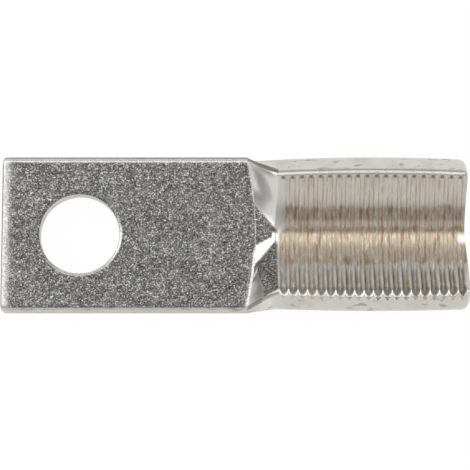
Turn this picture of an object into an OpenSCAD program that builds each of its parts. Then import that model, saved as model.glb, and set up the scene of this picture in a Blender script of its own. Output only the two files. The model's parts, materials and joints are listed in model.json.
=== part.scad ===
// Open-barrel cable lug: a copper strip, blanked, pierced, stepped down at a shoulder and pressed into a
// serrated dish that takes the conductor. Millimetres, +Z up.
// The origin is the centre of the stud hole on the palm's underside. +X points at the cable.

/* [Strip] */
// Width of the flat strip
strip_w = 20; // [17:0.5:24]
// Thickness of the strip
strip_t = 3; // [2:0.1:3.6]

/* [Palm] */
// Length of the palm, from its free end to the fold at the strip's edges
palm_l = 31.5; // [26:0.1:40]
// Distance from the palm's free end to the middle of the stud hole
hole_to_end = 10; // [8.5:0.1:13]
// Diameter of the stud hole
hole_d = 10.3; // [6.4:0.1:11]
// Corner radius of the palm's free end, seen from above
palm_corner_r = 0.5; // [0.2:0.1:1.5]

/* [Rolled edges] */
// Width of the roll that blanking leaves along the strip's upper edges
edge_roll_w = 0.65; // [0.3:0.05:0.8]
// Depth of that roll
edge_roll_d = 0.4; // [0.2:0.05:0.6]
// Width of the roll at the palm's free end
end_roll_w = 1.6; // [0.6:0.1:2]
// Depth of the roll at the palm's free end
end_roll_d = 0.5; // [0.2:0.05:0.8]
// Width of the roll round the stud hole's upper rim
hole_roll_w = 0.45; // [0.2:0.05:0.6]
// Depth of the roll round the stud hole's upper rim
hole_roll_d = 0.3; // [0.2:0.05:0.6]
// Length of the roll round the outer edge of the cable end, along the strip
tip_roll_w = 1.1; // [0.4:0.1:1.5]
// Depth of that roll into the thickness of the strip
tip_roll_d = 1.8; // [0.6:0.1:1.9]

/* [Shoulder] */
// Length of the shoulder at the strip's edges, from the fold to the barrel
shoulder_l = 4.1; // [3.4:0.1:7]
// How far the fold bows towards the barrel in the middle of the strip
fold_bow = 1.2; // [0.3:0.05:1.4]
// How far the shoulder stops short of the barrel in the middle of the strip
shoulder_bow = 0.9; // [0.2:0.1:1.4]
// How the shoulder eases into the barrel, from 1 for a straight ramp
shoulder_ease = 1.35; // [1:0.05:2]

/* [Barrel] */
// Length of the barrel, from the shoulder to the cable end
barrel_l = 24.4; // [14:0.1:34]
// Width of the flat strip where it becomes the barrel
barrel_w = 19.4; // [16:0.1:24]
// Radius of the dish on its inner face
dish_r = 10.1; // [8.5:0.1:14]
// How far the dish's floor lies below the palm's upper face
dish_drop = 2.1; // [1:0.1:3.5]
// How far each rim swells outwards at the middle of the barrel
rim_swell = 0.35; // [0.1:0.05:0.8]
// Corner radius of the barrel's cable end
barrel_corner_r = 0.5; // [0.3:0.05:1.5]

/* [Serrations] */
// Distance from one serration to the next
serration_pitch = 1.2; // [0.9:0.01:1.8]
// Depth of a serration
serration_d = 0.8; // [0.3:0.05:1]
// Width of the flat land between two serrations
serration_land = 0.35; // [0.2:0.05:0.5]

/* [Hidden] */

// Segments across the strip, along the shoulder, round each rolled end, in each other roll's quarter turn,
// round a corner and along a rim
ACROSS = 24;
ALONG = 16;
END_STEPS = 6;
ROLL_STEPS = 3;
CORNER_STEPS = 4;
SWELL_STEPS = 8;
// The shoulder reaches this far into the barrel, this much slimmer than it, so that the two join cleanly
TONGUE_L = 0.08;
TONGUE_INSET = 0.02;
// Spare material that a cutter reaches past what it cuts
SPARE = 1;
SPARE_ANGLE = 8;

half_w = strip_w / 2;
barrel_half_w = barrel_w / 2;
palm_x = -hole_to_end;
fold_x = palm_x + palm_l;
barrel_x = fold_x + shoulder_l;
tip_x = barrel_x + barrel_l;
shell_r = dish_r + strip_t;
dish_axis_z = strip_t - dish_drop + dish_r;

// Angle that a length across the strip takes up, bent round the dish along the strip's middle layer
function bend(c) = c / (dish_r + strip_t / 2) * 180 / PI;

// Drop of a rolled edge of width w and depth d, at a distance s in from the edge
function roll_drop(s, w, d) = s >= w ? 0 : d * (1 - sqrt(1 - pow(1 - s / w, 2)));

// How far a corner of radius r stands back from the edge, at a distance s in from the end
function corner_back(s, r) = s >= r ? 0 : r - sqrt(r * r - pow(r - s, 2));

// Points of a quarter turn of width w and depth d, from the side face [0, -d] to the flat face [w, 0]
function quarter(w, d, steps) =
    [for (i = [0:steps]) [w * (1 - cos(90 * i / steps)), -d * (1 - sin(90 * i / steps))]];

// Section of the flat strip as [across, height] points, once round from the lower left
function strip_section() =
    let (rolled = quarter(edge_roll_w, edge_roll_d, ROLL_STEPS), flat_w = half_w - edge_roll_w)
    concat(
        [for (i = [0:ACROSS]) [half_w * (2 * i / ACROSS - 1), 0]],
        [for (p = rolled) [half_w - p[0], strip_t + p[1]]],
        [for (i = [1:ACROSS - 1]) [flat_w * (1 - 2 * i / ACROSS), strip_t]],
        [for (i = [ROLL_STEPS:-1:0]) [rolled[i][0] - half_w, strip_t + rolled[i][1]]]
    );

// A point of the flat strip's section pressed into the dish, as [y, z]
function dished_point(p) =
    [(shell_r - p[1]) * sin(bend(p[0])), dish_axis_z - (shell_r - p[1]) * cos(bend(p[0]))];

// Share of the way from flat to dished, at a share u of the shoulder's length
function eased(u) = 1 - pow(1 - u, shoulder_ease);

// Where the fold and the end of the shoulder lie along the strip, at a share v of its half width
function fold_at(v) = fold_x + fold_bow * (1 - v * v);
function shoulder_end_at(v) = barrel_x - TONGUE_L - shoulder_bow * (1 - v * v);

// A ring of the section at the palm's free end, a distance s in from it
function end_ring(s) = [
    for (p = strip_section())
        let (side = (half_w - corner_back(s, palm_corner_r)) / half_w)
        let (lift = 1 - roll_drop(s, end_roll_w, end_roll_d) / strip_t)
        [palm_x + s, p[0] * side, p[1] * lift]
];

// A ring of the section at a share u of the shoulder's length
function shoulder_ring(u) = [
    for (p = strip_section())
        let (v = p[0] / half_w, x = fold_at(v) * (1 - u) + shoulder_end_at(v) * u)
        let (across = p[0] + v * (barrel_half_w - half_w) * eased(u), q = [across, p[1]])
        let (yz = q * (1 - eased(u)) + dished_point(q) * eased(u))
        [x, yz[0], yz[1]]
];

// A ring of the fully dished section at x, slimmer all round by an inset
function dished_ring(x, inset) = [
    for (p = strip_section())
        let (across = p[0] / half_w * (barrel_half_w - inset))
        let (yz = dished_point([across, inset + p[1] * (1 - 2 * inset / strip_t)]))
        [x, yz[0], yz[1]]
];

// Faces that close a ring of the strip's section: quads across the strip, then a fan at each edge
function strip_cap() =
    let (right = ACROSS + 1, left = right + ROLL_STEPS + ACROSS)
    concat(
        [for (k = [0:ACROSS - 1]) [k, k + 1, left - k - 1, left - k]],
        [for (i = [0:ROLL_STEPS - 1]) [ACROSS, right + i, right + i + 1]],
        [for (i = [0:ROLL_STEPS - 1]) [0, left + i, left + i + 1]]
    );

// The same faces, seen from the other side
function turned(faces) = [for (f = faces) [for (i = [len(f) - 1:-1:0]) f[i]]];

// The same faces on points that are numbered from first
function raised(faces, first) = [for (f = faces) [for (i = f) first + i]];

// A closed skin over rings with the same number of points, closed at both ends by the same cap
module skin(rings, cap) {
    n = len(rings[0]);
    last = len(rings) - 1;
    polyhedron(
        points = [for (ring = rings) each ring],
        faces = concat(
            cap,
            [for (i = [0:last - 1], j = [0:n - 1])
                let (a = i * n + j, b = i * n + (j + 1) % n)
                each [[a, a + n, b], [b, a + n, b + n]]],
            turned(raised(cap, last * n))
        )
    );
}

// The flat palm and the shoulder, as one skin from the free end into the barrel
module palm_and_shoulder() {
    end_w = max(end_roll_w, palm_corner_r);
    rings = concat(
        [for (i = [0:END_STEPS]) end_ring(end_w * (1 - cos(90 * i / END_STEPS)))],
        [for (i = [0:ALONG]) shoulder_ring(i / ALONG)],
        [dished_ring(barrel_x, TONGUE_INSET), dished_ring(barrel_x + TONGUE_L, 2 * TONGUE_INSET)]
    );
    skin(rings, strip_cap());
}

// The cutter for the stud hole, with the roll of its upper rim
module stud_hole_cutter() {
    rim = quarter(hole_roll_w, hole_roll_d, ROLL_STEPS);
    rotate_extrude($fn = 96)
        polygon(concat(
            [[0, -SPARE], [hole_d / 2, -SPARE]],
            [for (p = rim) [hole_d / 2 + p[0], strip_t + p[1]]],
            [[hole_d / 2 + hole_roll_w, strip_t + SPARE], [0, strip_t + SPARE]]
        ));
}

// Moves a shape made round Z, with its radius along X, to the dish's axis with that radius pointing down
module to_dish_axis() {
    translate([0, 0, dish_axis_z])
        rotate([0, 90, 0])
            children();
}

// Outline of the barrel's wall along the dish's floor, as [radius, x] points, with its serrations
module barrel_wall_profile() {
    count = floor(barrel_l / serration_pitch + 0.01);
    rolled = quarter(tip_roll_w, tip_roll_d, END_STEPS);
    polygon(concat(
        [[shell_r, barrel_x]],
        [for (i = [END_STEPS:-1:0]) [shell_r + rolled[i][1], tip_x - rolled[i][0]]],
        [[dish_r, tip_x]],
        [for (i = [count - 1:-1:0])
            let (x = barrel_x + i * serration_pitch)
            each [
                [dish_r, x + serration_pitch - serration_land / 2],
                [dish_r + serration_d, x + serration_pitch / 2],
                [dish_r, x + serration_land / 2]
            ]],
        [[dish_r, barrel_x]]
    ));
}

// How far a rim lies outside the straight strip at x: it swells along the barrel and its corner is rounded
function rim_out(x) =
    rim_swell * (1 - pow(2 * (x - barrel_x) / barrel_l - 1, 2)) - corner_back(tip_x - x, barrel_corner_r);

// A ring of what is trimmed off beyond a rim at x, seen along the strip, with the roll of its inner edge
function rim_ring(x, out) =
    let (rolled = quarter(edge_roll_w, edge_roll_d, ROLL_STEPS))
    let (outward = rolled[ROLL_STEPS] * 2 - rolled[ROLL_STEPS - 1])
    let (top = 3 * SPARE - dish_r, bottom = -shell_r - SPARE)
    concat(
        [[x, out + 3 * SPARE, top], [x, out - outward[0], top], [x, out - outward[0], outward[1] - dish_r]],
        [for (i = [ROLL_STEPS:-1:0]) [x, out - rolled[i][0], rolled[i][1] - dish_r]],
        [[x, out, bottom], [x, out + 3 * SPARE, bottom]]
    );

// What is trimmed off beyond a rim, with its height pointing at the dish's axis
module rim_cutter() {
    step_l = (barrel_l - barrel_corner_r) / SWELL_STEPS;
    slope = rim_out(barrel_x + step_l) / step_l;
    stations = concat(
        [for (i = [1:SWELL_STEPS]) barrel_x + step_l * i],
        [for (i = [1:CORNER_STEPS]) tip_x - barrel_corner_r * (1 - sin(90 * i / CORNER_STEPS))]
    );
    rings = concat(
        [rim_ring(barrel_x - SPARE, -slope * SPARE)],
        [for (x = stations) rim_ring(x, rim_out(x))],
        [rim_ring(tip_x + SPARE, rim_out(tip_x))]
    );
    skin(rings, [[for (i = [0:len(rings[0]) - 1]) i]]);
}

// Both rims' trimming, each square to the strip where it ends
module rim_cutters() {
    for (side = [0, 1])
        translate([0, 0, dish_axis_z])
            mirror([0, side, 0])
                rotate([bend(barrel_half_w), 0, 0])
                    rim_cutter();
}

// The dish that takes the conductor
module barrel() {
    sweep = bend(barrel_half_w) + SPARE_ANGLE;
    difference() {
        to_dish_axis()
            rotate_extrude(angle = 2 * sweep, start = -sweep, $fn = 180)
                barrel_wall_profile();
        rim_cutters();
    }
}

// The whole lug, one strip of metal
module lug_body() {
    color("#b3ada0")
        difference() {
            union() {
                palm_and_shoulder();
                barrel();
            }
            stud_hole_cutter();
        }
}

lug_body();
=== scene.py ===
"""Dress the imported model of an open-barrel cable lug: one formed strip of tinned copper.

The strip is laid out flat first, as the press shop has it, and every point is then carried to its
place in the formed lug. Lengths are in metres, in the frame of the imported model.
"""

from __future__ import annotations

import json
import logging
import math
from dataclasses import dataclass, field
from enum import Enum
from typing import Any, Callable, Sequence

import bpy
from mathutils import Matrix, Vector, noise


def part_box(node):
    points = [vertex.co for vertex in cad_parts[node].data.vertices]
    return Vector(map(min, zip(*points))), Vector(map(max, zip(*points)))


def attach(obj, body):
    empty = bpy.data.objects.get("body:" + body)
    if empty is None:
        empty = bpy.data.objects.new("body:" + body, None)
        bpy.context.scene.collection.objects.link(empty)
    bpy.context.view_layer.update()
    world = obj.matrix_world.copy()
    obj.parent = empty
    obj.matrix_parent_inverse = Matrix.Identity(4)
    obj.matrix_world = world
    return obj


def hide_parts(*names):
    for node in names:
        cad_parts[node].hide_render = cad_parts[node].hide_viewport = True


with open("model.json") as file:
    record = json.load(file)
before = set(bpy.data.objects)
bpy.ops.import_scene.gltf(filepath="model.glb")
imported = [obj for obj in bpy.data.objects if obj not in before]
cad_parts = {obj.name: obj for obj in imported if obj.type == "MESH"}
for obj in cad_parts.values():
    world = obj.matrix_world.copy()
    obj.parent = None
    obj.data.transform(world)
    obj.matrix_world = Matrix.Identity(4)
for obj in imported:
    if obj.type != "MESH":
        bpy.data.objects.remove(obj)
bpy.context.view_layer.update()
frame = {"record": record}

LOG = logging.getLogger("lug")
MM = 0.001
NODE = "lug_body"
# Lengths that differ by less are the same.
TOLERANCE = 1e-7
# How far off the lug's middle line the camera aims.
AIM_Y = -0.23 * MM


# ------------------------------------------------------------------------------------------------
# Small helpers for smooth steps and rolled edges
# ------------------------------------------------------------------------------------------------


def smoothstep(low: float, high: float, value: float) -> float:
    """Step smoothly from 0 to 1.

    Args:
        low: Where the rise begins.
        high: Where it ends.
        value: The place to look at.

    Returns:
        0 below low, 1 above high and a smooth rise between them.
    """
    t = min(max((value - low) / (high - low), 0.0), 1.0)
    return t * t * (3.0 - 2.0 * t)


def fall(low: float, high: float, value: float) -> float:
    """Return 1 below low, 0 above high and a smooth fall between them."""
    return 1.0 - smoothstep(low, high, value)


def close_to(distance: float, full: float, none: float) -> float:
    """Return 1 where a distance, either way, is under full, and a smooth fall to 0 at none."""
    return fall(full, none, abs(distance))


def lerp(a: float, b: float, t: float) -> float:
    """Return the value a share t of the way from a to b."""
    return a + (b - a) * t


def waver(x: float, y: float, seed: float) -> float:
    """Return smooth noise between about -1 and 1 at a place given in millimetres."""
    return noise.noise(Vector((x, y, seed)))


@dataclass(frozen=True)
class Roll:
    """The rounded edge that a blanking tool leaves, as a quarter of a superellipse.

    Attributes:
        width: How far the roll reaches in from the edge.
        depth: How far it drops at the edge.
        steps: Segments round it.
        power: 2 for an ellipse, and nearer 1 for a softened chamfer.
    """

    width: float
    depth: float
    steps: int = 6
    power: float = 2.0

    def drop(self, inset: float) -> float:
        """Work out how far the rolled surface lies below the flat face.

        Args:
            inset: Distance from the edge.

        Returns:
            The drop, 0 past the width of the roll.
        """
        if inset >= self.width:
            return 0.0
        share = max(1.0 - (1.0 - inset / self.width) ** self.power, 0.0)
        return self.depth * (1.0 - share ** (1.0 / self.power))

    def points(self) -> list[tuple[float, float]]:
        """Return (inset, drop) pairs from the side face up to the flat face."""
        turns = [math.pi / 2 * i / self.steps for i in range(self.steps + 1)]
        bend = 2.0 / self.power
        return [
            (self.width * (1 - abs(math.cos(t)) ** bend), self.depth * (1 - math.sin(t) ** bend))
            for t in turns
        ]


# ------------------------------------------------------------------------------------------------
# The form of the lug
# ------------------------------------------------------------------------------------------------


@dataclass(frozen=True)
class StripPoint:
    """A point of the flat strip's section.

    Attributes:
        across: Distance from the strip's middle line.
        height: Height above the strip's underside.
        sheared: 1 on the faces that the blanking tool sheared, 0 on the rolled strip's faces.
        burnish: 1 where tool or handling has polished the edge, and where a highlight is painted on it.
    """

    across: float
    height: float
    sheared: float = 0.0
    burnish: float = 0.0


@dataclass(frozen=True)
class Station:
    """A cross-section of the lug, given by its place along the strip.

    Attributes:
        x_at: Place along X for a share of the half width, from -1 to 1.
        dished_at: How far the section is on its way from flat (0) to the full dish (1), for a share
            of the half width.
        end_inset: Distance from the palm's free end, or None away from it.
        tip_inset: Distance from the cable end, or None away from it.
        side_scale: Share of the half width that the section keeps at a rounded corner.
        pitch_share: Place within one serration, from 0 to 1, or -1 outside the serrated length.
        shoulder_share: Place along the shoulder, from 0 to 1, or -1 outside it.
    """

    x_at: Callable[[float], float]
    dished_at: Callable[[float], float] = lambda v: 0.0
    end_inset: float | None = None
    tip_inset: float | None = None
    side_scale: float = 1.0
    pitch_share: float = -1.0
    shoulder_share: float = -1.0


@dataclass(frozen=True)
class Spot:
    """A place on the strip, as its finish needs it.

    Attributes:
        station: The cross-section it lies on.
        worn: How polished the strip's section is there, with the highlight painted on its edges.
        x: Place along the lug.
        v: Share of the half width, from -1 at the near edge to 1 at the far one.
        low: How far it lies below the top face, as a share of the edge roll's depth.
    """

    station: Station
    worn: float
    x: float
    v: float
    low: float

    @property
    def on_top(self) -> bool:
        """Whether it lies on the top face or on the roll of its edge."""
        return self.low < 1.01

    @property
    def in_barrel(self) -> bool:
        """Whether it lies along the serrated length."""
        return self.station.pitch_share >= 0

    @property
    def serrated(self) -> float:
        """1 on the serrated face, and 0 elsewhere."""
        return float(self.in_barrel and self.on_top)


@dataclass
class WearAndLight:
    """How polished and painted with highlight, how smoothly pressed, and how dirty and painted with
    shade a place is, each from 0 to about 1.
    """

    burnish: float = 0.0
    pressed: float = 0.0
    grime: float = 0.0


@dataclass(frozen=True)
class LugForm:
    """Sizes of the formed strip and the rule that carries a flat point to its formed place.

    Attributes:
        palm_x: The palm's free end.
        tip_x: The cable end.
        fold_bow: How far the fold bows towards the cable at the middle line.
        shoulder_l: Length of the shoulder at the strip's edges.
        shoulder_bow: How far the shoulder's foot bows towards the palm at the middle line.
        shoulder_ease: Power by which the strip narrows along the shoulder.
        shoulder_gap: Clear length between the shoulder's last row and the barrel's first.
        ramp_power: Power of the shoulder's ramp on the near side and in the middle.
        near_drop: How much steeper the shoulder falls beside its near edge.
        dish_drop: How far the dish's floor lies below the palm's top.
        rim_swell: How far the barrel's rims swell outward at mid-length.
        land_share: Half the flat land between two serrations, as a share of the pitch.
        land_point: The same at the near rim, where the land narrows to a point.
        tip_dent: How far the cable end is set back at the middle of its dent.
        tip_dent_at: Share of the half width at which that dent lies.
        tip_dent_reach: Share of the half width over which it fades.
        tip_slope: How far the cable end is set back at its far side.
        tip_reach: Length over which the rows take up the cable end's shape.
    """

    palm_x: float
    tip_x: float
    half_w: float = 10.0 * MM
    thick: float = 3.0 * MM
    hole_r: float = 5.15 * MM
    barrel_half_w: float = 9.78 * MM
    palm_l: float = 31.5 * MM
    fold_bow: float = 1.2 * MM
    shoulder_l: float = 4.1 * MM
    shoulder_bow: float = 0.3 * MM
    shoulder_ease: float = 1.35
    shoulder_gap: float = 0.05 * MM
    ramp_power: float = 1.1
    near_drop: float = 2.6
    dish_r: float = 10.1 * MM
    dish_drop: float = 2.1 * MM
    rim_swell: float = 0.35 * MM
    palm_corner_r: float = 0.5 * MM
    tip_corner_r: float = 0.5 * MM
    serration_pitch: float = 1.2 * MM
    serration_d: float = 0.8 * MM
    land_share: float = 0.146
    land_point: float = 0.02
    tip_dent: float = 0.34 * MM
    tip_dent_at: float = 0.12
    tip_dent_reach: float = 0.42
    tip_slope: float = 0.1 * MM
    tip_reach: float = 1.4 * MM
    edge_roll: Roll = Roll(0.55 * MM, 0.5 * MM, 8, 1.3)
    end_roll: Roll = Roll(1.6 * MM, 0.5 * MM)
    hole_roll: Roll = Roll(0.45 * MM, 0.3 * MM)
    tip_roll: Roll = Roll(1.1 * MM, 1.8 * MM)
    lower_roll: Roll = Roll(0.12 * MM, 0.12 * MM, 2)

    @property
    def fold_x(self) -> float:
        """Place of the fold at the strip's edges."""
        return self.palm_x + self.palm_l

    @property
    def barrel_x(self) -> float:
        """Where the full dish begins."""
        return self.fold_x + self.shoulder_l

    @property
    def shell_r(self) -> float:
        """Radius of the dish on its outer face."""
        return self.dish_r + self.thick

    @property
    def axis_z(self) -> float:
        """Height of the dish's axis."""
        return self.thick - self.dish_drop + self.dish_r

    def fold_at(self, v: float) -> float:
        """Return the fold's place along X at a share v of the half width."""
        return self.fold_x + self.fold_bow * (1 - v * v)

    def shoulder_end_at(self, v: float) -> float:
        """Return where the shoulder ends at a share v of the half width."""
        return self.barrel_x - self.shoulder_bow * (1 - v * v) - self.shoulder_gap

    def eased(self, u: float, v: float) -> float:
        """Work out how far the shoulder is dished.

        The middle comes down as an even ramp. On the near side the strip drops sooner, with a steep
        face.

        Args:
            u: Share of the shoulder's length, from 0 at the fold.
            v: Share of the half width, from -1 at the near edge to 1 at the far one.

        Returns:
            A share from 0, flat, to 1, the full dish.
        """
        near = smoothstep(0.36, 0.46, -v) * fall(0.46, 0.72, -v) * self.near_drop
        return 1 - (1 - u) ** (lerp(self.ramp_power, 1.0, smoothstep(0.1, 0.3, v)) + near)

    def swell_at(self, x: float) -> float:
        """Return how far a rim lies outside the straight strip at x."""
        share = min(max((x - self.barrel_x) / (self.tip_x - self.barrel_x), 0.0), 1.0)
        return self.rim_swell * (1 - (2 * share - 1) ** 2)

    def tip_setback(self, v: float) -> float:
        """Return how far the cable end lies back from its foremost point, at a share v."""
        dent = self.tip_dent * math.exp(-(((v - self.tip_dent_at) / self.tip_dent_reach) ** 2))
        return dent + self.tip_slope * smoothstep(0.2, 0.7, v)

    def place(self, x: float, across: float, height: float, dished: float) -> Vector:
        """Carry a point of the flat strip to its formed place.

        Args:
            x: Place along the lug.
            across: Distance from the strip's middle line.
            height: Height above the strip's underside.
            dished: How far the section is from flat (0) to the full dish (1).

        Returns:
            The formed point.
        """
        turn = across / (self.dish_r + self.thick / 2)
        radius = self.shell_r - height
        y = lerp(across, radius * math.sin(turn), dished)
        z = lerp(height, self.axis_z - radius * math.cos(turn), dished)
        return Vector((x, y, z))


# ------------------------------------------------------------------------------------------------
# The mesh
# ------------------------------------------------------------------------------------------------


class Mark(Enum):
    """Names of the values that the mesh carries for its finish, its painted highlights and its painted
    shade.
    """

    SHEARED = "sheared"
    BURNISH = "burnish"
    GROOVE = "groove"
    SERRATED = "serrated"
    PRESSED = "pressed"
    GRIME = "grime"
    STRIP = "strip"


@dataclass
class MeshDraft:
    """Vertices, faces and finish values gathered before they become one mesh."""

    points: list[Vector] = field(default_factory=list)
    faces: list[list[int]] = field(default_factory=list)
    values: dict[Mark, list[float]] = field(
        default_factory=lambda: {m: [] for m in Mark if m is not Mark.STRIP}
    )
    strip: list[Vector] = field(default_factory=list)

    def add(self, point: Vector, strip: Vector, **values: float) -> int:
        """Add a vertex.

        Args:
            point: Its formed place.
            strip: Its place on the flat strip.
            **values: Its finish values by the names of Mark, 0 where left out.

        Returns:
            The vertex's number.
        """
        self.points.append(point)
        self.strip.append(strip)
        for mark, column in self.values.items():
            column.append(values.get(mark.value, 0.0))
        return len(self.points) - 1

    def mesh(self, name: str, sharp_angle: float) -> bpy.types.Mesh:
        """Turn what was gathered into a smooth-shaded mesh.

        Args:
            name: The mesh's name.
            sharp_angle: Edges that turn by more stay sharp, in radians.

        Returns:
            The mesh, with its finish values as attributes.
        """
        mesh = bpy.data.meshes.new(name)
        mesh.from_pydata([tuple(p) for p in self.points], [], self.faces)
        mesh.validate(verbose=False)
        mesh.update()
        for mark, column in self.values.items():
            layer = mesh.attributes.new(mark.value, "FLOAT", "POINT")
            layer.data.foreach_set("value", column)
        layer = mesh.attributes.new(Mark.STRIP.value, "FLOAT_VECTOR", "POINT")
        layer.data.foreach_set("vector", [c for p in self.strip for c in p])
        mesh.polygons.foreach_set("use_smooth", [True] * len(mesh.polygons))
        mesh.set_sharp_from_angle(angle=sharp_angle)
        return mesh


@dataclass
class LugMesh:
    """Builds the lug's skin over its stations, with the stud hole in its palm.

    Attributes:
        form: The lug's sizes.
        columns: Columns of the grid on each side of the middle line.
        hole_cells: Half the side of the square round the stud hole, in grid cells.
        hole_rings: Rings of faces between that square and the hole.
        ring_crowding: How much closer together those rings lie towards the hole.
        wall_steps: Rows of faces up a sheared side.
        even_rows: Even rows of the palm that follow the square.
        fold_gaps: Distances before the fold of the palm's last rows.
        fold_crowding: How much closer together the shoulder's rows lie towards the fold.
        serration_rows: Rows of one serration, as shares of the pitch.
        tip_rows: Rows between the last serration and the cable end, as shares.
        edge_line: Width of the line beside the far edge's roll that carries a painted highlight.
        edge_shine: How bright that painted highlight is.
        edge_polish_and_highlight: How polished the far edge's roll is, with a highlight painted on it.
        under_edge: How sheared the underside looks at the foot of its roll.
        sharp_angle: Edges that turn by more than this stay sharp, in radians.
        hole_highlight_angle: Where the highlight painted on the hole's rim is brightest, in radians
            from +X.
    """

    form: LugForm
    columns: int = 28
    hole_cells: int = 20
    hole_rings: int = 8
    ring_crowding: float = 1.4
    wall_steps: int = 8
    even_rows: int = 8
    fold_gaps: tuple[float, ...] = (0.24 * MM, 0.16 * MM, 0.1 * MM, 0.05 * MM)
    shoulder_steps: int = 28
    fold_crowding: float = 1.25
    serration_rows: tuple[float, ...] = (
        0.0, 0.05, 0.1, 0.17, 0.24, 0.31, 0.38, 0.44, 0.48,
        0.52, 0.56, 0.62, 0.69, 0.76, 0.83, 0.9, 0.95,
    )
    tip_rows: tuple[float, ...] = (0.0, 0.2, 0.4, 0.6, 0.8, 0.9, 1.0)
    edge_line: float = 0.06 * MM
    edge_shine: float = 0.95
    edge_polish_and_highlight: float = 1.2
    under_edge: float = 0.6
    sharp_angle: float = math.radians(50)
    hole_highlight_angle: float = math.radians(-62)
    draft: MeshDraft = field(default_factory=MeshDraft)

    @property
    def cell(self) -> float:
        """Side of a grid cell."""
        return (self.form.half_w - self.form.edge_roll.width) / self.columns

    def section(self) -> list[StripPoint]:
        """Return the flat strip's section, once round from the left end of the underside."""
        f = self.form
        inner = [self.cell * k for k in range(-self.columns, self.columns + 1)]
        lined = inner[-1] - self.edge_line
        inner = [inner[0], -lined, *inner[1:-1], lined, inner[-1]]
        roll_foot = f.thick - f.edge_roll.depth
        steps = [i / self.wall_steps for i in range(1, self.wall_steps)]
        right = [
            StripPoint(f.half_w - inset, height, 1.0 if height > 0 else self.under_edge)
            for inset, height in reversed(f.lower_roll.points())
        ]
        right += [StripPoint(f.half_w, lerp(f.lower_roll.depth, roll_foot, t), 1.0) for t in steps]
        right += [self.far_roll_point(inset, drop) for inset, drop in f.edge_roll.points()[:-1]]
        left = [self.near_point(p) for p in reversed(right)]
        bottom = [StripPoint(a, 0.0) for a in inner]
        top = [
            StripPoint(a, f.thick, burnish=self.edge_shine if a >= lined else 0.0)
            for a in reversed(inner)
        ]
        return bottom + right + top + left

    def far_roll_point(self, inset: float, drop: float) -> StripPoint:
        """Work out a point of the far edge's roll, polished and painted with a highlight at its top,
        and sheared lower down.

        Args:
            inset: Distance from the edge.
            drop: Distance below the top face.

        Returns:
            The point.
        """
        share = drop / self.form.edge_roll.depth
        return StripPoint(
            self.form.half_w - inset,
            self.form.thick - drop,
            sheared=smoothstep(0.15, 0.5, share),
            burnish=self.edge_polish_and_highlight * fall(0.15, 0.4, share),
        )

    def near_point(self, far: StripPoint) -> StripPoint:
        """Work out the near edge's counterpart of a point of the far edge.

        Args:
            far: The point of the far edge.

        Returns:
            The point, sheared higher up, and neither polished nor painted with a highlight.
        """
        low = (self.form.thick - far.height) / self.form.edge_roll.depth
        return StripPoint(-far.across, far.height, max(far.sheared, smoothstep(0.04, 0.3, low)))

    def stations(self) -> list[Station]:
        """Return the cross-sections from the palm's free end to the cable end."""
        return self.palm_stations() + self.shoulder_stations() + self.barrel_stations()

    def palm_stations(self) -> list[Station]:
        """Return the palm's cross-sections, whose rows bow gradually into the fold's curve."""
        f = self.form
        rows: list[Station] = []
        for inset, _ in f.end_roll.points():
            corner = max(f.palm_corner_r - inset, 0.0)
            back = f.palm_corner_r - math.sqrt(f.palm_corner_r**2 - corner**2)
            rows.append(self.straight(f.palm_x + inset, inset, (f.half_w - back) / f.half_w))
        least_gap = 0.2
        first = math.ceil((f.palm_x + f.end_roll.width) / self.cell + least_gap)
        last = self.hole_cells + self.even_rows
        rows += [self.straight(k * self.cell) for k in range(first, last + 1)]
        start = last * self.cell
        count = round((f.fold_x - start) / self.cell)
        rows += [self.bowed(start, i / count) for i in range(1, count)]
        rows += [self.bowed(start, 1 - gap / (f.fold_x - start)) for gap in self.fold_gaps]
        return rows

    def straight(self, x: float, end_inset: float | None = None, side_scale: float = 1.0) -> Station:
        """Return a station of the flat palm whose row is straight."""
        return Station(x_at=lambda v: x, end_inset=end_inset, side_scale=side_scale)

    def bowed(self, start: float, share: float) -> Station:
        """Return a station a share of the way from a straight row to the bowed fold."""
        return Station(x_at=lambda v: lerp(start, self.form.fold_at(v), share))

    def shoulder_stations(self) -> list[Station]:
        """Return the shoulder's cross-sections, close together at the fold."""
        f = self.form
        rows: list[Station] = []
        for i in range(self.shoulder_steps + 1):
            u = (i / self.shoulder_steps) ** self.fold_crowding
            rows.append(
                Station(
                    x_at=lambda v, u=u: lerp(f.fold_at(v), f.shoulder_end_at(v), u),
                    dished_at=lambda v, u=u: f.eased(u, v),
                    side_scale=lerp(1.0, f.barrel_half_w / f.half_w, 1 - (1 - u) ** f.shoulder_ease),
                    shoulder_share=u,
                )
            )
        return rows

    def barrel_stations(self) -> list[Station]:
        """Return the barrel's cross-sections, with rows that follow each serration."""
        f = self.form
        rounding = 0.01
        count = math.floor((f.tip_x - f.barrel_x) / f.serration_pitch + rounding)
        places = [
            (f.barrel_x + (i + s) * f.serration_pitch, s)
            for i in range(count)
            for s in self.serration_rows
        ]
        lip = f.tip_x - f.barrel_x - count * f.serration_pitch
        places += [(f.tip_x - lip * (1 - s) ** 2, 0.0) for s in self.tip_rows]
        rows: list[Station] = []
        for x, share in places:
            corner = max(f.tip_corner_r - (f.tip_x - x), 0.0)
            back = f.tip_corner_r - math.sqrt(max(f.tip_corner_r**2 - corner**2, 0.0))
            held = smoothstep(f.tip_x - f.tip_reach, f.tip_x, x)
            rows.append(
                Station(
                    x_at=lambda v, x=x, held=held: x - held * f.tip_setback(v),
                    dished_at=lambda v: 1.0,
                    tip_inset=f.tip_x - x,
                    side_scale=(f.barrel_half_w + f.swell_at(x) - back) / f.half_w,
                    pitch_share=share,
                )
            )
        return rows

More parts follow.
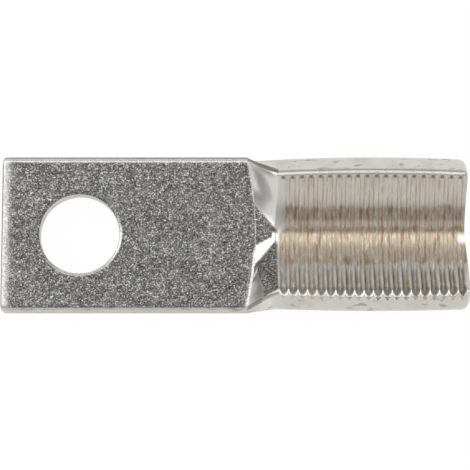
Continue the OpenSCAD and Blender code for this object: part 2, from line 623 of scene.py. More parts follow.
    def groove_share(self, share: float, v: float) -> float:
        """Work out a serration's profile.

        The flat land between two serrations narrows to a point at the near rim.

        Args:
            share: Place within one serration, from 0 to 1.
            v: Share of the half width, from -1 at the near edge to 1 at the far one.

        Returns:
            Its depth, as a share of the full depth.
        """
        flank = min(share, 1.0 - share)
        land = lerp(self.form.land_share, self.form.land_point, smoothstep(0.82, 0.95, -v))
        return min(max((flank - land) / (0.5 - land), 0.0), 1.0)

    def build(self) -> bpy.types.Mesh:
        """Return the whole lug's mesh."""
        section, stations = self.section(), self.stations()
        rings = [[self.vertex(s, p) for p in section] for s in stations]
        for ring, after in zip(rings, rings[1:]):
            for j in range(len(ring)):
                k = (j + 1) % len(ring)
                if not self.in_hole_square(ring[j], ring[k], after[j]):
                    self.draft.faces.append([ring[j], ring[k], after[k], after[j]])
        self.close_end(rings[0], facing_cable=False)
        self.close_end(rings[-1], facing_cable=True)
        self.pierce(rings)
        return self.draft.mesh("lug_skin", self.sharp_angle)

    def vertex(self, station: Station, p: StripPoint) -> int:
        """Add the vertex of a section's point at a station.

        Args:
            station: The cross-section.
            p: The point of the flat strip's section.

        Returns:
            The vertex's number.
        """
        f = self.form
        v = p.across / f.half_w
        spot = Spot(station, p.burnish, station.x_at(v), v, (f.thick - p.height) / f.edge_roll.depth)
        across = p.across * station.side_scale
        wear_and_light = self.wear_and_light(spot)
        return self.draft.add(
            f.place(spot.x, across, self.height(spot, p.height), station.dished_at(v)),
            Vector((spot.x, across, p.height)),
            sheared=1.0 if 0.0 in (station.end_inset, station.tip_inset) else p.sheared,
            burnish=wear_and_light.burnish,
            groove=self.groove_line(station.pitch_share, v) * spot.serrated,
            serrated=spot.serrated * self.serrated_start(spot),
            pressed=wear_and_light.pressed,
            grime=wear_and_light.grime,
        )

    def height(self, spot: Spot, height: float) -> float:
        """Take the rolls of both ends and the serrations off a flat height.

        Args:
            spot: The place.
            height: Its height above the flat strip's underside.

        Returns:
            The height that is left.
        """
        f, station = self.form, spot.station
        if station.end_inset is not None:
            height *= 1 - f.end_roll.drop(station.end_inset) / f.thick
        if station.tip_inset is not None:
            rolled = f.tip_roll.drop(station.tip_inset)
            height = rolled + height * (1 - rolled / f.thick)
        if station.pitch_share > 0 and spot.on_top:
            depth = self.groove_share(station.pitch_share, spot.v) * f.serration_d
            height -= depth * self.groove_reach(spot.v, spot.x)
        return height

    def serrated_start(self, spot: Spot) -> float:
        """Return how far the serrated finish has faded in, which takes longer on the far side."""
        reach = lerp(0.3, 1.3, smoothstep(0.0, 0.15, spot.v)) * MM
        return smoothstep(0.0, reach, spot.x - self.form.barrel_x)

    def wear_and_light(self, spot: Spot) -> WearAndLight:
        """Choose a place's polish, pressing, dirt, painted highlight and painted shade.

        Args:
            spot: The place.

        Returns:
            Its wear.
        """
        if spot.in_barrel:
            return self.barrel_wear_and_light(spot) if spot.on_top else WearAndLight(spot.worn)
        if spot.station.end_inset is not None:
            wear_and_light = self.end_highlight_and_shade(spot)
        elif spot.on_top:
            wear_and_light = self.shoulder_wear_and_light(spot)
        else:
            wear_and_light = WearAndLight(spot.worn)
        wear_and_light.grime = max(wear_and_light.grime, self.edge_shade(spot))
        return wear_and_light

    def end_highlight_and_shade(self, spot: Spot) -> WearAndLight:
        """Work out the palm's free end: a polished roll with a painted highlight, over a line darkened
        as painted shade.

        Args:
            spot: The place.

        Returns:
            Its wear.
        """
        inset = (spot.station.end_inset or 0.0) / self.form.end_roll.width
        shine = 0.72 * fall(0.1, 1.0, inset) * spot.on_top
        return WearAndLight(max(spot.worn, shine), grime=0.9 * fall(0.04, 0.12, inset))

    def barrel_wear_and_light(self, spot: Spot) -> WearAndLight:
        """Work out the serrated face, with highlights painted on its crests, rims and cable end and
        shade painted in its grooves.

        Args:
            spot: The place.

        Returns:
            Its wear.
        """
        v, share = spot.v, spot.station.pitch_share
        # Painted highlight at the middle of the cable end.
        tip = fall(0.9 * MM, 1.5 * MM, spot.station.tip_inset or 0.0)
        tip *= 0.85 * close_to(v + 0.04, 0.04, 0.1)
        # Painted highlight along the crests by the near rim.
        crest = 0.5 * fall(0.02, 0.09, 0.5 - abs(share - 0.5)) * smoothstep(0.4, 0.5, -v)
        # The far edge's painted highlight, carried by the section.
        edge = spot.worn * (0.0 if v < 0 else 0.2)
        outer = lerp(0.3, 1.0, smoothstep(0.35, 0.6, spot.low))
        # Darker on the outer part of the far rim's roll.
        far_rim = 0.5 * outer * smoothstep(0.96, 0.975, v)
        return WearAndLight(
            burnish=max(edge, self.rim_highlight(share, v), tip, crest),
            pressed=lerp(0.75, 1.0, smoothstep(-0.4, -0.25, v)),
            grime=max(self.groove_shade(share, v, spot.x), far_rim),
        )

    def edge_shade(self, spot: Spot) -> float:
        """Work out the shade painted along the strip's edges on the palm and the shoulder.

        Args:
            spot: The place.

        Returns:
            The painted shade, from 0 to 1.
        """
        if spot.v > 0:
            return smoothstep(0.33, 0.5, spot.low) if 0.0 < spot.low < 1.6 else 0.0
        fade = fall(0.0, 2.0 * MM, spot.x - self.form.fold_at(spot.v))
        side = smoothstep(0.1, 0.5, spot.low)
        beside = 0.28 * smoothstep(0.90, 0.96, -spot.v) * (1 - side) * spot.on_top
        return max(beside, 0.3 * side * smoothstep(0.9, 0.99, -spot.v)) * fade

    def shoulder_wear_and_light(self, spot: Spot) -> WearAndLight:
        """Return the polish, pressing, darker patches and painted light and shade of the palm's top and
        of the shoulder.

        The fold is polished and painted with a highlight. The shoulder's far wall is painted pale as if
        lit, and a painted highlight band runs down its near side, beside a steep face darkened as
        painted shade with a crease of painted shade at its foot.

        Args:
            spot: The place, which lies on the top face of the palm or the shoulder.

        Returns:
            The polish, pressing, darkening and painted light and shade there.
        """
        v, u = spot.v, spot.station.shoulder_share
        near = smoothstep(0.15, 0.28, -v)
        reach = lerp(0.12, 0.36, near) * MM
        past_fold = spot.x - self.form.fold_at(v)
        # Polished fold, with a highlight painted along it.
        fold = close_to(past_fold + 0.08 * MM, 0.35 * reach, reach) * lerp(0.5, 1.0, near)
        if u < 0:
            return WearAndLight(max(spot.worn, fold))
        far_wall = smoothstep(-0.02, 0.03, v - lerp(0.36, 0.12, u))
        # Painted light on the far wall.
        lit = 0.9 * far_wall * smoothstep(0.35, 0.8, u)
        upper, lower = lerp(0.17, 0.0, u), lerp(0.42, 0.06, u)
        below = smoothstep(-0.02, 0.03, -v - lower)
        # Painted highlight band down the near side.
        band = smoothstep(-0.02, 0.02, -v - upper) * (1 - below)
        foot = lerp(0.12, 0.5, smoothstep(0.38, 0.9, -v))
        steep = below * fall(-0.03, 0.02, u - foot)
        # Painted shade in the crease at the steep face's foot.
        crease = close_to(u - foot - 0.02, 0.01, 0.05) * below * fall(0.6, 0.8, -v)
        # Painted highlight where the ramp meets the dish.
        glint = smoothstep(0.78, 0.9, u) * close_to(v + 0.02, 0.05, 0.1)
        # Darker by the far edge near the fold, a dark dot near the middle, and a darker far edge.
        corner = 0.8 * smoothstep(0.84, 0.95, v) * fall(0.7, 1.0, u)
        far_patch = 0.5 * smoothstep(0.5, 0.7, v) * fall(0.1, 0.24, u)
        dot = fall(0.02, 0.05, math.hypot(v - 0.09, (u - 0.9) * 0.3))
        edge = 0.35 * smoothstep(0.93, 0.96, v)
        # Painted shade on the steep face and below the band; darker on the far wall by the fold.
        dull = max(0.85 * steep, 0.32 * below, edge, 0.42 * far_wall * fall(0.25, 0.65, u))
        return WearAndLight(
            burnish=max(spot.worn, fold, band, glint, lit),
            pressed=max(far_wall, steep, band, glint),
            grime=max(crease, corner, far_patch, dot, dull),
        )

    def groove_reach(self, v: float, x: float) -> float:
        """Work out how deep a serration is cut.

        The serrations are deepest towards the near rim and stop just short of the far one.

        Args:
            v: Share of the half width, from -1 at the near edge to 1 at the far one.
            x: Place along the lug.

        Returns:
            A share of the full depth.
        """
        worn = 1.0 + 0.15 * waver(v * 4.0, x / MM * 0.4, 3.0)
        near = smoothstep(0.28, 0.6, -v) * lerp(0.35, 1.1, self.along(x))
        rim = smoothstep(0.8, 0.95, -v)
        far = smoothstep(0.89, 0.93, v) * 0.8 - smoothstep(0.95, 0.96, v) * 0.55
        return worn * (lerp(0.05, 0.45, near) + 0.75 * rim) * (1 - far)

    @staticmethod
    def rim_highlight(share: float, v: float) -> float:
        """Return how bright the highlight painted on the rim's edge is beside a serration, at a share v
        of the half width.
        """
        land = smoothstep(0.1, 0.35, abs(share - 0.5))
        return smoothstep(0.955, 0.97, abs(v)) * (lerp(0.0, 0.35, land) if v > 0 else 0.25)

    @staticmethod
    def groove_line(share: float, v: float) -> float:
        """Return how strongly the two edges of a groove show, at a share of the pitch."""
        edge = 0.5 - abs(share - 0.5)
        return max(1 - abs(edge - 0.21) / 0.09, 0.0) * fall(0.9, 0.95, abs(v))

    def along(self, x: float) -> float:
        """Return how far along the barrel x is, from 0 at the shoulder to 1 at the cable end."""
        return (x - self.form.barrel_x) / (self.form.tip_x - self.form.barrel_x)

    def groove_shade(self, share: float, v: float, x: float) -> float:
        """Work out the shade painted in a groove.

        Args:
            share: Place within one serration, from 0 to 1.
            v: Share of the half width, from -1 at the near edge to 1 at the far one.
            x: Place along the lug.

        Returns:
            The painted shade, dark at the groove's far end and along its edges by the near rim.
        """
        end = smoothstep(0.89, 0.91, v) * fall(0.94, 0.955, v) * close_to(share - 0.5, 0.12, 0.28)
        flank = max(1 - abs(share - 0.24) / 0.1, 1 - abs(share - 0.70) / 0.08, 0.0)
        near = smoothstep(0.42, 0.6, -v) * fall(0.86, 0.93, -v)
        return max(end, flank * near * lerp(0.5, 1.2, smoothstep(0.0, 0.5, self.along(x))))

    def in_hole_square(self, *corners: int) -> bool:
        """Tell whether a face of the grid lies in the square round the stud hole.

        Args:
            *corners: Numbers of the face's vertices.

        Returns:
            True if the face makes way for the hole.
        """
        side = self.hole_cells * self.cell + TOLERANCE
        flat = (self.form.thick, 0.0)
        places = [self.draft.strip[c] for c in corners]
        on_face = all(any(abs(p.z - h) < TOLERANCE for h in flat) for p in places)
        return on_face and all(abs(p.x) < side and abs(p.y) < side for p in places)

    def close_end(self, ring: Sequence[int], facing_cable: bool) -> None:
        """Close an end of the strip with quads from its underside to its top.

        Args:
            ring: The vertices of the end's section.
            facing_cable: Whether the end faces the cable.
        """
        n = 2 * self.columns + 2
        top = len(ring) // 2
        quads = [[ring[k], ring[k + 1], ring[top + n - k - 1], ring[top + n - k]] for k in range(n)]
        right = list(ring[n : top + 1])
        left = list(ring[top + n :]) + [ring[0]]
        for face in quads + [right, left]:
            self.draft.faces.append(face if facing_cable else face[::-1])

    def pierce(self, rings: Sequence[Sequence[int]]) -> None:
        """Fill the square round the stud hole and add the hole's rolled rim and wall.

        Args:
            rings: The vertices of every section.
        """
        f = self.form
        lookup = {}
        for ring in rings:
            for number in ring:
                p = self.draft.strip[number]
                column, row = round(p.x / self.cell, 3), round(p.y / self.cell, 3)
                lookup[(column, row, p.z > f.thick / 2)] = number
        k = self.hole_cells
        border = [(i, -k) for i in range(-k, k)] + [(k, i) for i in range(-k, k)]
        border += [(-i, k) for i in range(-k, k)] + [(-k, -i) for i in range(-k, k)]
        upper = [lookup[(float(i), float(j), True)] for i, j in border]
        lower = [lookup[(float(i), float(j), False)] for i, j in border]
        angles = [math.atan2(j, i) for i, j in border]
        loops = [upper]
        outer = f.hole_r + f.hole_roll.width
        for step in range(1, self.hole_rings + 1):
            share = 1 - (1 - step / self.hole_rings) ** self.ring_crowding
            loops.append([self.toward_hole(n, a, outer, share) for n, a in zip(upper, angles)])
        # The rolled rim carries the painted highlight; the wall below it does not.
        for inset, drop in reversed(f.hole_roll.points()[:-1]):
            loops.append(self.hole_loop(angles, f.hole_r + inset, f.thick - drop, 0.0, 1.0))
        wall_top = f.thick - f.hole_roll.depth
        for i in range(1, self.wall_steps):
            height = lerp(wall_top, f.lower_roll.depth, i / self.wall_steps)
            loops.append(self.hole_loop(angles, f.hole_r, height, 1.0, 0.0))
        for inset, drop in f.lower_roll.points():
            loops.append(self.hole_loop(angles, f.hole_r + inset, drop, 1.0, 0.0))
        under = f.hole_r + f.lower_roll.width
        for step in range(1, self.hole_rings):
            share = 1 - step / self.hole_rings
            loops.append([self.toward_hole(n, a, under, share) for n, a in zip(lower, angles)])
        loops.append(lower)
        for loop, after in zip(loops, loops[1:]):
            for j in range(len(loop)):
                i = (j + 1) % len(loop)
                self.draft.faces.append([loop[j], loop[i], after[i], after[j]])

    def toward_hole(self, border: int, angle: float, radius: float, share: float) -> int:
        """Add a vertex between the border of the square and a circle round the hole.

        Args:
            border: Number of the vertex on the border.
            angle: Its bearing from the hole's centre.
            radius: Radius of the circle.
            share: How far towards the circle it lies.

        Returns:
            The vertex's number.
        """
        edge = self.draft.strip[border]
        circle = Vector((radius * math.cos(angle), radius * math.sin(angle), edge.z))
        point = edge.lerp(circle, share)
        return self.draft.add(point.copy(), point)

    def hole_loop(
        self, angles: Sequence[float], radius: float, height: float, sheared: float, burnish: float
    ) -> list[int]:
        """Add a circle of vertices of the hole's rim or wall.

        Args:
            angles: Their bearings from the hole's centre.
            radius: Radius of the circle.
            height: Its height.
            sheared: How sheared it looks.
            burnish: Strength of the highlight painted on the rim, brightest towards
                hole_highlight_angle.

        Returns:
            The vertices' numbers.
        """
        loop = []
        for angle in angles:
            point = Vector((radius * math.cos(angle), radius * math.sin(angle), height))
            hole_highlight = burnish * smoothstep(-0.1, 0.7, math.cos(angle - self.hole_highlight_angle))
            loop.append(self.draft.add(point.copy(), point, sheared=sheared, burnish=hole_highlight))
        return loop


# ------------------------------------------------------------------------------------------------
# Shader writing
# ------------------------------------------------------------------------------------------------


Colour = tuple[float, float, float]


class Socket:
    """A number in a node tree, on which Python's arithmetic adds Math nodes."""

    def __init__(self, tree: "Tree", link: bpy.types.NodeSocket) -> None:
        """Wrap an output socket of a tree."""
        self.tree = tree
        self.link = link

    def _math(self, operation: str, *values: Any, clamp: bool = False) -> "Socket":
        """Add a Math node on these values."""
        settings = {"operation": operation, "use_clamp": clamp}
        return self.tree.node("ShaderNodeMath", settings, dict(enumerate(values)))

    def __add__(self, other: Any) -> "Socket":
        """Add."""
        return self._math("ADD", self, other)

    __radd__ = __add__

    def __sub__(self, other: Any) -> "Socket":
        """Subtract."""
        return self._math("SUBTRACT", self, other)

    def __rsub__(self, other: Any) -> "Socket":
        """Subtract this from a number."""
        return self._math("SUBTRACT", other, self)

    def __mul__(self, other: Any) -> "Socket":
        """Multiply."""
        return self._math("MULTIPLY", self, other)

    __rmul__ = __mul__

    def size(self) -> "Socket":
        """Return this value without its sign."""
        return self._math("ABSOLUTE", self)

    def clamped(self) -> "Socket":
        """Return this value held between 0 and 1."""
        return self._math("ADD", self, 0.0, clamp=True)

    def step(self, low: float, high: float) -> "Socket":
        """Return a smooth rise from 0 at low to 1 at high."""
        settings = {"interpolation_type": "SMOOTHSTEP"}
        values = {"Value": self, "From Min": low, "From Max": high}
        return self.tree.node("ShaderNodeMapRange", settings, values)


class Tree:
    """A node tree under construction."""

    def __init__(self, tree: bpy.types.NodeTree) -> None:
        """Start from an empty tree."""
        self.tree = tree
        tree.nodes.clear()

    def raw(self, kind: str, settings: dict[str, Any], inputs: dict[Any, Any]) -> bpy.types.Node:
        """Add a node.

        Args:
            kind: Its type.
            settings: Attributes to set first.
            inputs: Values or links by socket name or number.

        Returns:
            The node.
        """
        node = self.tree.nodes.new(kind)
        for name, value in settings.items():
            setattr(node, name, value)
        for name, value in inputs.items():
            socket = node.inputs[name]
            if isinstance(value, Socket):
                self.tree.links.new(value.link, socket)
            else:
                socket.default_value = value
        return node

    def node(
        self, kind: str, settings: dict[str, Any], inputs: dict[Any, Any], output: str | int = 0
    ) -> Socket:
        """Add a node as raw() does and return one of its outputs."""
        return Socket(self, self.raw(kind, settings, inputs).outputs[output])

    def attribute(self, mark: Mark, output: str = "Fac") -> Socket:
        """Return a value that the mesh carries."""
        return self.node("ShaderNodeAttribute", {"attribute_name": mark.value}, {}, output)

    def grain(self, where: Socket, grain: Grain) -> Socket:
        """Add a noise over the strip.

        Args:
            where: The place on the flat strip.
            grain: Its scale, detail and stretch.

        Returns:
            A value between 0 and 1.
        """
        if grain.stretch is not None:
            values = {"Vector": where, "Scale": grain.stretch}
            where = self.node("ShaderNodeMapping", {"vector_type": "POINT"}, values)
        values = {"Scale": grain.scale, "Detail": grain.detail, "Roughness": grain.rough}
        return self.node("ShaderNodeTexNoise", {}, {"Vector": where, **values}, "Fac")

    def mix(self, factor: Socket | float, a: Socket | Colour, b: Socket | Colour) -> Socket:
        """Mix two colours.

        Args:
            factor: 0 for all of a and 1 for all of b.
            a: A colour.
            b: A colour.

        Returns:
            The mixture.
        """
        under, over = (c if isinstance(c, Socket) else (*c, 1.0) for c in (a, b))
        settings = {"data_type": "RGBA", "blend_type": "MIX"}
        return self.node("ShaderNodeMix", settings, {0: factor, 6: under, 7: over}, 2)


@dataclass(frozen=True)
class Grain:
    """A noise over the strip.

    Attributes:
        scale: Its scale, per metre.
        detail: How many finer layers it has.
        rough: How strong each finer layer is.
        stretch: Scales along, across and through the strip, which come first.
    """

    scale: float
    detail: float = 2.0
    rough: float = 0.6
    stretch: tuple[float, float, float] | None = None


@dataclass(frozen=True)
class Marks:
    """Marks where a noise rises from low to high, at a strength from 0 to 1."""

    low: float
    high: float
    strength: float

    def on(self, noise_value: Socket) -> Socket:
        """Return how strongly the marks show."""
        return noise_value.step(self.low, self.high) * self.strength


@dataclass(frozen=True)
class TinnedCopper:
    """Dull tin plating on copper: speckled on the rolled face, brighter where tools have pressed it."""

    name: str = "tinned_copper"
    cool_tin: Colour = (0.295, 0.305, 0.318)
    warm_tin: Colour = (0.355, 0.335, 0.298)
    dark: Colour = (0.052, 0.05, 0.047)
    pale: Colour = (0.97, 0.955, 0.92)
    glint: Colour = (1.0, 0.99, 0.96)
    pressed: Colour = (0.82, 0.805, 0.77)
    pressed_stain: Colour = (0.55, 0.53, 0.50)
    cut: Colour = (0.88, 0.86, 0.80)
    cut_stain: Colour = (0.58, 0.55, 0.49)
    cut_scuff: Colour = (0.36, 0.31, 0.25)
    dish_pale: Colour = (0.75, 0.71, 0.63)
    dish_bright: Colour = (0.88, 0.83, 0.75)
    # Greyer tone of the near wall, darkened as painted shade.
    near_wall: Colour = (0.55, 0.545, 0.52)
    copper: Colour = (0.55, 0.45, 0.325)
    rust: Colour = (0.36, 0.22, 0.13)
    # Dark colour of dirt, also used for painted shade.
    grime: Colour = (0.14, 0.125, 0.10)
    fine: Grain = Grain(4700.0, rough=0.7)
    middling: Grain = Grain(1739.0)
    blotches: Grain = Grain(330.0, 3.0)
    scuffs: Grain = Grain(1500.0, 3.0, stretch=(0.35, 1.0, 1.0))
    dents: Grain = Grain(1150.0)
    glints: Grain = Grain(3100.0, 1.0, 0.5, (0.6, 1.0, 1.0))
    wide_tint: Grain = Grain(420.0, rough=0.5)
    fine_tint: Grain = Grain(2300.0, 1.0, 0.5)
    streaks: Grain = Grain(2600.0, stretch=(1.0, 0.12, 1.0))
    patches: Grain = Grain(800.0, stretch=(1.0, 0.35, 1.0))
    dashes: Grain = Grain(3600.0, stretch=(1.0, 0.22, 1.0))
    warm_reach: float = 4.3 * MM
    smooth_rough: float = 0.27
    plain_rough: float = 0.29
    bump_strength: float = 0.3
    bump_height: float = 0.03 * MM

    def make(self) -> bpy.types.Material:
        """Return the material."""
        material = bpy.data.materials.new(self.name)
        material.use_nodes = True
        tree = Tree(material.node_tree)
        strip = tree.attribute(Mark.STRIP, "Vector")
        sheared, burnish = tree.attribute(Mark.SHEARED).clamped(), tree.attribute(Mark.BURNISH)
        groove, serrated = tree.attribute(Mark.GROOVE), tree.attribute(Mark.SERRATED)
        pressed, grime = tree.attribute(Mark.PRESSED), tree.attribute(Mark.GRIME)
        speckle = tree.grain(strip, self.fine) * 0.72 + tree.grain(strip, self.middling) * 0.28
        blotch = tree.grain(strip, self.blotches)
        dish, streak = self.dish(tree, strip, groove)
        smooth = tree.mix(Marks(0.35, 0.7, 0.2).on(blotch), self.pressed, self.pressed_stain)
        colour = tree.mix(pressed, self.rolled_face(tree, strip, speckle, blotch), smooth)
        colour = tree.mix(serrated, colour, dish)
        colour = tree.mix(sheared, colour, self.cut_face(tree, strip, blotch))
        # Paint pale where the strip is polished and where highlights are painted.
        polish_and_painted_highlight = (burnish * (0.65 + Marks(0.4, 0.56, 0.35).on(speckle))).clamped()
        colour = tree.mix(polish_and_painted_highlight, colour, self.pale)
        # Darken for dirt and for painted shade.
        colour = tree.mix(grime * 0.75, colour, self.grime)
        polished = burnish.clamped()
        plain = (1 - sheared) * (1 - pressed) * (1 - polished * 0.7)
        rough = self.smooth_rough + plain * self.plain_rough - polished * 0.1 + speckle * plain * 0.1
        grain = speckle * (plain + 0.12) + streak * serrated * 0.3
        relief = {"Strength": self.bump_strength, "Distance": self.bump_height, "Height": grain}
        surface = {
            "Base Color": colour,
            "Roughness": rough,
            "Metallic": 1.0,
            "Normal": tree.node("ShaderNodeBump", {}, relief),
        }
        shader = tree.node("ShaderNodeBsdfPrincipled", {}, surface)
        tree.raw("ShaderNodeOutputMaterial", {}, {"Surface": shader})
        return material

    def cut_face(self, tree: Tree, strip: Socket, blotch: Socket) -> Socket:
        """Return the colour of the sheared faces, bright with stains and long scuffs."""
        cut = tree.mix(Marks(0.4, 0.75, 0.35).on(blotch), self.cut, self.cut_stain)
        return tree.mix(Marks(0.57, 0.67, 0.6).on(tree.grain(strip, self.scuffs)), cut, self.cut_scuff)

    def rolled_face(self, tree: Tree, strip: Socket, speckle: Socket, blotch: Socket) -> Socket:
        """Make the colour of the rolled faces, dull, finely speckled and a little stained.

        Args:
            tree: The material's tree.
            strip: The place on the flat strip.
            speckle: The fine noise.
            blotch: The wide noise.

        Returns:
            The colour.
        """
        tint = tree.grain(strip, self.wide_tint) * 0.4 + tree.grain(strip, self.fine_tint) * 0.6
        colour = tree.mix(tint.step(0.40, 0.60), self.cool_tin, self.warm_tin)
        colour = tree.mix(Marks(0.35, 0.65, 0.3).on(blotch), colour, self.dark)
        colour = tree.mix((1 - speckle.step(0.38, 0.50)) * 0.9, colour, self.dark)
        colour = tree.mix(Marks(0.52, 0.62, 0.85).on(speckle), colour, self.pale)
        colour = tree.mix(Marks(0.60, 0.74, 0.5).on(tree.grain(strip, self.dents)), colour, self.dark)
        return tree.mix(Marks(0.70, 0.76, 0.9).on(tree.grain(strip, self.glints)), colour, self.glint)

    def dish(self, tree: Tree, strip: Socket, groove: Socket) -> tuple[Socket, Socket]:
        """Return the colour of the serrated dish, with copper showing through and bands of painted
        highlight and shade, and its relief.

        Args:
            tree: The material's tree.
            strip: The place on the flat strip.
            groove: How strongly the edges of a groove show.

        Returns:
            The colour, and the height of the streaks and patches.
        """
        streak, patch, dash = (tree.grain(strip, g) for g in (self.streaks, self.patches, self.dashes))
        across = tree.node("ShaderNodeSeparateXYZ", {}, {"Vector": strip}, 1)
        reach = across.size() + (patch - 0.5) * (2.2 * MM)
        warm = 1 - reach.step(self.warm_reach - 0.4 * MM, self.warm_reach + 0.5 * MM)
        near = 1 - across.step(-self.warm_reach - 0.4 * MM, -self.warm_reach + 0.6 * MM)
        # Far wall in dish_pale; near wall in the darker near_wall, partly its greyer tone and partly
        # painted shade.
        worn = tree.mix(near * (0.7 + patch * 0.3), self.dish_pale, self.near_wall)
        colour = tree.mix(warm * 0.85, worn, self.copper)
        colour = tree.mix(Marks(0.5, 0.66, 0.6).on(dash), colour, self.dish_bright)
        colour = tree.mix(streak.step(0.52, 0.66) * (warm * 0.65 + 0.25), colour, self.rust)
        # Painted shade: a darker line along the dish just to the far side of its middle.
        dull = self.band(across, 0.8 * MM, 0.8 * MM) * (0.35 + Marks(0.4, 0.6, 0.45).on(dash))
        colour = tree.mix(dull, colour, self.grime)
        # Painted highlights: bright lines along the far wall and, fainter, the near wall.
        colour = tree.mix(self.band(across, 1.95 * MM, 0.8 * MM) * 0.5, colour, self.dish_bright)
        colour = tree.mix(self.band(across, -2.6 * MM, 1.5 * MM) * 0.22, colour, self.dish_bright)
        line = groove * (0.25 + Marks(0.35, 0.6, 0.55).on(patch))
        return tree.mix(line, colour, self.rust), streak + patch * 2.0

    @staticmethod
    def band(across: Socket, centre: float, reach: float) -> Socket:
        """Return 1 on a line along the dish, falling to 0 at a distance on either side of it."""
        return across.step(centre - reach, centre) * (1 - across.step(centre, centre + reach))


# ------------------------------------------------------------------------------------------------
# The lug and its surroundings
# ------------------------------------------------------------------------------------------------


@dataclass
class CableLug:
    """The lug: its form, its mesh and its finish."""

    form: LugForm
    finish: TinnedCopper = TinnedCopper()

    def build(self) -> bpy.types.Object:
        """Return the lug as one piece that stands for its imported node."""
        mesh = LugMesh(self.form).build()
        mesh.materials.append(self.finish.make())
        piece = bpy.data.objects.new("lug_body_dressed", mesh)
        bpy.context.scene.collection.objects.link(piece)
        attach(piece, "root")
        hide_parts(NODE)
        return piece


@dataclass(frozen=True)
class SoftBox:
    """A rectangular soft lamp that points at the lug.

    Attributes:
        name: The lamp's name.
        bearing: Where it hangs, in degrees from +X towards +Y.
        height: Its height above the table's plane, in degrees.
        distance: How far it is from the lug.
        wide: Its level side.
        tall: Its other side.
        brightness: Its radiance, where 1 is the white of the background.
    """

    name: str
    bearing: float
    height: float
    distance: float
    wide: float
    tall: float
    brightness: float

    def hang(self, centre: Vector) -> None:
        """Make the lamp and hang it so that it points at a centre.

        Args:
            centre: What it points at.
        """
        data = bpy.data.lights.new(self.name, "AREA")
        data.shape = "RECTANGLE"
        data.size, data.size_y = self.wide, self.tall
        data.energy = self.brightness * math.pi * self.wide * self.tall
        bearing, height = math.radians(self.bearing), math.radians(self.height)
        level = math.cos(height)
        away = Vector((level * math.cos(bearing), level * math.sin(bearing), math.sin(height)))
        lamp = bpy.data.objects.new(self.name, data)
        lamp.location = centre + away * self.distance
        lamp.rotation_euler = (math.pi / 2 - height, 0.0, bearing + math.pi / 2)
        bpy.context.scene.collection.objects.link(lamp)


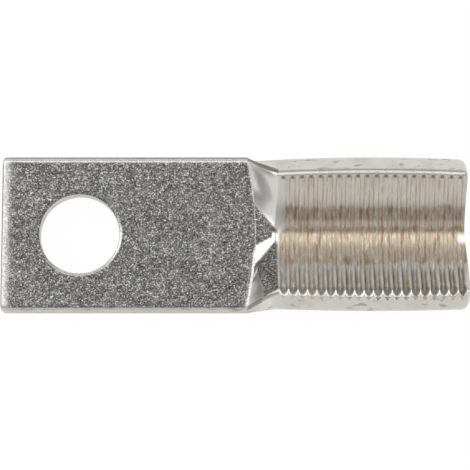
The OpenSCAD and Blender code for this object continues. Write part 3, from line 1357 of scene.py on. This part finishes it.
@dataclass
class Studio:
    """A pale table, soft lamps and the camera over it.

    Attributes:
        floor_z: Height of the table's top.
        centre: Where the camera and the lamps point.
        table_side: Side of the table.
        card_grey: How much light the table scatters.
        card_glow: How bright the table looks in plain view.
        seen_share: Share of that glow that the camera sees.
        glossy_share: How much of that share the metal mirrors.
        wall_level: Brightness of the room's walls.
        ceiling_level: Brightness of its ceiling.
        ceiling_lean: How far the ceiling's middle leans to the far side.
        ceiling_edge: Heights between which the walls turn into the ceiling.
        far_edge: Directions between which the far side grows brighter.
        far_lift: How much brighter it is there.
        camera_distance: Distance from the camera to the centre.
        camera_tilt: How far the camera leans to the near side.
        view_width: Width that the camera sees at the centre.
        sensor_width: The camera's sensor, in millimetres.
        near_clip: Nearest distance that the camera shows.
    """

    floor_z: float
    centre: Vector
    table_side: float = 1.6
    card_grey: float = 0.8
    card_glow: float = 1.06
    seen_share: float = 0.9
    glossy_share: float = 0.5
    wall_level: float = 0.66
    ceiling_level: float = 0.39
    ceiling_lean: float = math.radians(15.0)
    ceiling_edge: tuple[float, float] = (0.58, 0.64)
    far_edge: tuple[float, float] = (0.30, 0.42)
    far_lift: float = 0.12
    camera_distance: float = 0.258
    camera_tilt: float = math.radians(9.0)
    view_width: float = 60.27 * MM
    sensor_width: float = 36.0
    near_clip: float = 0.01
    lamps: tuple[SoftBox, ...] = (
        SoftBox("top_lamp", 90.0, 79.0, 0.6, 0.8, 0.23, 0.9),
        SoftBox("left_lamp", 170.0, 36.0, 0.6, 0.5, 0.5, 0.85),
        SoftBox("right_lamp", 9.0, 10.0, 0.6, 0.3, 0.2, 1.25),
    )

    def build(self) -> None:
        """Make the table, the lamps, the world and the camera."""
        self.table()
        self.world()
        for lamp in self.lamps:
            lamp.hang(self.centre)
        self.camera()

    def table(self) -> None:
        """Make the floor, which is white in plain view and keeps the lug's shadow."""
        half = self.table_side / 2
        corners = [(-half, -half), (half, -half), (half, half), (-half, half)]
        mesh = bpy.data.meshes.new("table")
        mesh.from_pydata([(x, y, self.floor_z) for x, y in corners], [], [(0, 1, 2, 3)])
        material = bpy.data.materials.new("white_card")
        material.use_nodes = True
        tree = Tree(material.node_tree)
        card = tree.node("ShaderNodeBsdfDiffuse", {}, {"Color": (*[self.card_grey] * 3, 1)})
        glow = tree.node("ShaderNodeEmission", {}, {"Color": (1, 1, 1, 1), "Strength": self.card_glow})
        path = tree.raw("ShaderNodeLightPath", {}, {}).outputs
        mirrored = Socket(tree, path["Is Glossy Ray"]) * self.glossy_share
        seen = (Socket(tree, path["Is Camera Ray"]) + mirrored) * self.seen_share
        surface = tree.node("ShaderNodeMixShader", {}, {0: seen, 1: card, 2: glow})
        tree.raw("ShaderNodeOutputMaterial", {}, {"Surface": surface})
        mesh.materials.append(material)
        floor = bpy.data.objects.new("table", mesh)
        bpy.context.scene.collection.objects.link(floor)

    def world(self) -> None:
        """Give the room pale walls and a darker ceiling, and make it white where the camera sees it."""
        world = bpy.data.worlds.new("room")
        bpy.context.scene.world = world
        world.use_nodes = True
        tree = Tree(world.node_tree)
        seen = tree.node("ShaderNodeLightPath", {}, {}, "Is Camera Ray")
        way = tree.node("ShaderNodeTexCoord", {}, {}, "Generated")
        middle = (0.0, math.sin(self.ceiling_lean), math.cos(self.ceiling_lean))
        dot = {"operation": "DOT_PRODUCT"}
        height = tree.node("ShaderNodeVectorMath", dot, {0: way, 1: middle}, "Value")
        far = tree.node("ShaderNodeSeparateXYZ", {}, {"Vector": way}, 1).step(*self.far_edge)
        ceiling = self.ceiling_level + far * self.far_lift
        room = self.wall_level + height.step(*self.ceiling_edge) * (ceiling - self.wall_level)
        level = room * (1 - seen) + seen
        light = tree.node("ShaderNodeBackground", {}, {"Color": (1, 1, 1, 1), "Strength": level})
        tree.raw("ShaderNodeOutputWorld", {}, {"Surface": light})

    def camera(self) -> None:
        """Point the camera down at the lug from a little towards its near side."""
        data = bpy.data.cameras.new("camera")
        data.sensor_width = self.sensor_width
        data.lens = data.sensor_width * self.camera_distance / self.view_width
        data.clip_start = self.near_clip
        camera = bpy.data.objects.new("camera", data)
        away = Vector((0, -math.sin(self.camera_tilt), math.cos(self.camera_tilt)))
        camera.location = self.centre + away * self.camera_distance
        camera.rotation_euler = (self.camera_tilt, 0.0, 0.0)
        bpy.context.scene.collection.objects.link(camera)
        bpy.context.scene.camera = camera


def main() -> None:
    """Build the lug and its surroundings, and note the dressed lug's face count."""
    logging.basicConfig(level=logging.INFO, format="%(message)s")
    bpy.context.scene.view_settings.view_transform = "Standard"
    low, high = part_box(NODE)
    bore = next(m for m in frame["record"]["mounts"] if m["name"] == "stud_hole")
    form = LugForm(palm_x=low.x, tip_x=high.x, hole_r=bore["dims"]["r_mm"] * MM)
    lug = CableLug(form).build()
    LOG.info("%s: %d faces", lug.name, len(lug.data.polygons))
    centre = Vector(((low.x + high.x) / 2, AIM_Y, form.thick))
    Studio(floor_z=low.z, centre=centre).build()


if __name__ == "__main__":
    main()
